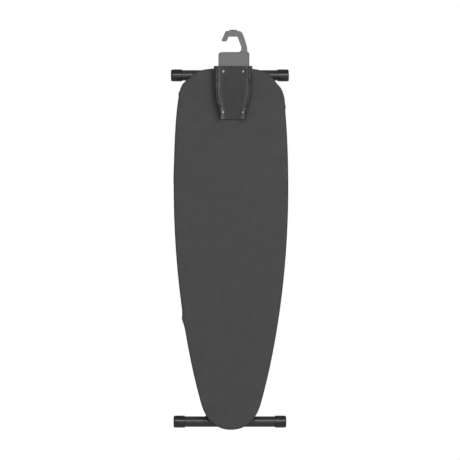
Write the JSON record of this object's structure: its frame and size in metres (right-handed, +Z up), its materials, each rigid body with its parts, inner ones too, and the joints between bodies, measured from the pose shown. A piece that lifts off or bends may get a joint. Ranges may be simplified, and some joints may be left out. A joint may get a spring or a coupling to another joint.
{
  "type": "ironing board",
  "caption": "Folding ironing board hanging by its hook, dark grey cover, crossed tube legs with T feet, open channel on the front for storing an iron.",
  "frame": {"origin": "middle of the flat face inside the hook, where it rests on a rail", "axes": "+Z up along the hanging board towards the hook, +X to the right seen from the ironing side, -Y the way the ironing surface faces"},
  "size_m": [0.359, 0.1013, 1.2131],
  "materials": {
    "hook_plastic": "satin mid-grey moulded plastic",
    "holder_plastic": "satin near-black moulded heat-resistant plastic",
    "lever_plastic": "fine-textured black moulded plastic",
    "rubber": "matt black rubber",
    "foot_rubber": "smooth satin black moulded caps",
    "cover_fabric": "plain-woven charcoal grey cotton",
    "felt": "needled grey-white felt",
    "frame_coating": "dark powder coat",
    "leg_coating": "satin near-black powder coat",
    "zinc_steel": "zinc-plated steel"
  },
  "bodies": {
    "board": {"board_cover": "cover_fabric", "clip_screw_left": "zinc_steel", "clip_screw_right": "zinc_steel", "cross_rib_middle": "frame_coating", "cross_rib_nose": "frame_coating", "cross_rib_tail": "frame_coating", "deck_panel": "frame_coating", "edge_clip_left": "holder_plastic", "edge_clip_right": "holder_plastic", "felt_pad": "felt", "holder_screw_lower_left": "zinc_steel", "holder_screw_lower_right": "zinc_steel", "holder_screw_upper_left": "zinc_steel", "holder_screw_upper_right": "zinc_steel", "hook_plate": "hook_plastic", "hook_top_pad": "rubber", "iron_holder": "holder_plastic", "leg_bumper_left": "rubber", "leg_bumper_right": "rubber", "lever_saddle_inner": "lever_plastic", "lever_saddle_outer": "lever_plastic", "lever_spring": "zinc_steel", "pivot_bracket_left": "zinc_steel", "pivot_bracket_right": "zinc_steel", "pivot_pin_left": "zinc_steel", "pivot_pin_right": "zinc_steel", "rail_screw_lower_left": "zinc_steel", "rail_screw_lower_right": "zinc_steel", "rail_screw_upper_left": "zinc_steel", "rail_screw_upper_right": "zinc_steel", "rim_frame": "frame_coating", "slide_rail_left": "zinc_steel", "slide_rail_right": "zinc_steel"},
    "lever": {"lever_shaft": "zinc_steel", "lever_grip": "lever_plastic", "lock_rack": "zinc_steel"},
    "outer_leg": {"outer_leg_tube_left": "leg_coating", "outer_leg_tube_right": "leg_coating", "outer_leg_plug_left": "rubber", "outer_leg_plug_right": "rubber", "outer_leg_brace": "leg_coating", "outer_foot_tube": "leg_coating", "outer_foot_cap_left": "foot_rubber", "outer_foot_cap_right": "foot_rubber", "cross_bolt": "zinc_steel", "cross_nut": "zinc_steel", "cross_washer_left": "lever_plastic", "cross_washer_right": "lever_plastic"},
    "inner_leg": {"inner_leg_tube_left": "leg_coating", "inner_leg_tube_right": "leg_coating", "inner_leg_brace": "leg_coating", "inner_foot_tube": "leg_coating", "inner_foot_cap_left": "foot_rubber", "inner_foot_cap_right": "foot_rubber", "cross_sleeve": "zinc_steel", "slide_rod": "zinc_steel", "slide_bush_left": "lever_plastic", "slide_bush_right": "lever_plastic"}
  },
  "joints": [
    {"name": "leg_fold", "type": "hinge", "parent": "board", "child": "outer_leg", "pos_m": [-0.0096, 0.052, -0.2425], "axis": [1, 0, 0], "range_deg": [0, 57]},
    {"name": "cross_fold", "type": "hinge", "parent": "outer_leg", "child": "inner_leg", "pos_m": [-0.0096, 0.052, -0.6425], "axis": [-1, 0, 0], "range_deg": [0, 114]},
    {"name": "lever_release", "type": "hinge", "parent": "board", "child": "lever", "pos_m": [-0.0096, 0.036, -0.64], "axis": [-1, 0, 0], "range_deg": [0, 4.3], "stiffness_Nm_per_rad": 1.5, "springref_deg": -6.88}
  ],
  "couplings": [
    {"joint": "cross_fold", "follows": "leg_fold", "ratio": 2}
  ]
}
